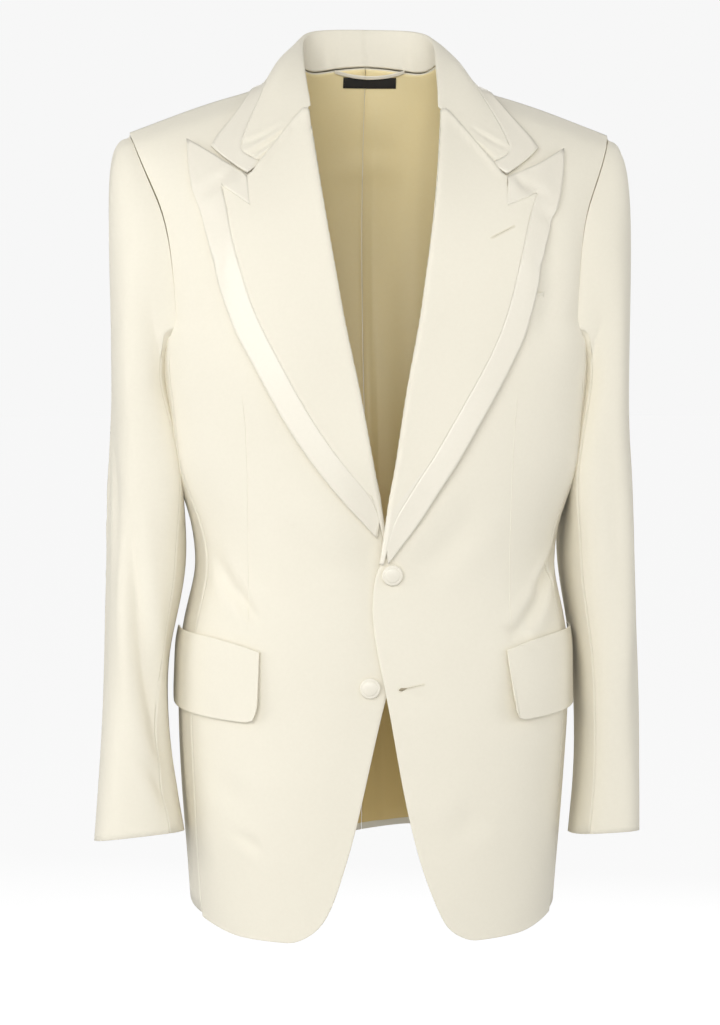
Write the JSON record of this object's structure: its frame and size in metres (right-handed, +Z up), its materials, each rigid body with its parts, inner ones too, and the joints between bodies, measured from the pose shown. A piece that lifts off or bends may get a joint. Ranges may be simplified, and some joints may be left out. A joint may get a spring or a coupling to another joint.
{
  "type": "tuxedo jacket",
  "caption": "Men's single-breasted tuxedo jacket in ivory cloth with satin-bordered peak lapels and flap pockets, filled out as worn and open at neck, hem and cuffs.",
  "frame": {"origin": "middle of the line between the two shoulder ends of the neckline, where the wearer holds the jacket up", "axes": "+Z up, the front faces -Y, +X towards the wearer's left"},
  "size_m": [0.5061, 0.2794, 0.8329],
  "materials": {
    "ivory_cloth": "matt fine wool-blend barathea",
    "ivory_satin": "lustrous satin",
    "ivory_lining": "smooth lining twill",
    "label_black": "woven label, bare"
  },
  "bodies": {
    "root": {"back_left": "ivory_cloth", "back_lining_left": "ivory_lining", "back_lining_right": "ivory_lining", "back_right": "ivory_cloth", "breast_welt": "ivory_cloth", "button_lower": "ivory_satin", "button_upper": "ivory_satin", "collar": "ivory_cloth", "collar_border": "ivory_satin", "front_left": "ivory_cloth", "front_right": "ivory_cloth", "hanger_loop": "ivory_lining", "lapel_border_left": "ivory_satin", "lapel_border_right": "ivory_satin", "lapel_left": "ivory_cloth", "lapel_right": "ivory_cloth", "neck_label": "label_black", "pocket_flap_left": "ivory_cloth", "pocket_flap_right": "ivory_cloth", "side_body_left": "ivory_cloth", "side_body_right": "ivory_cloth", "top_sleeve_left": "ivory_cloth", "top_sleeve_right": "ivory_cloth", "under_sleeve_left": "ivory_cloth", "under_sleeve_right": "ivory_cloth", "vent_underlap_left": "ivory_cloth", "vent_underlap_right": "ivory_cloth"}
  },
  "joints": []
}
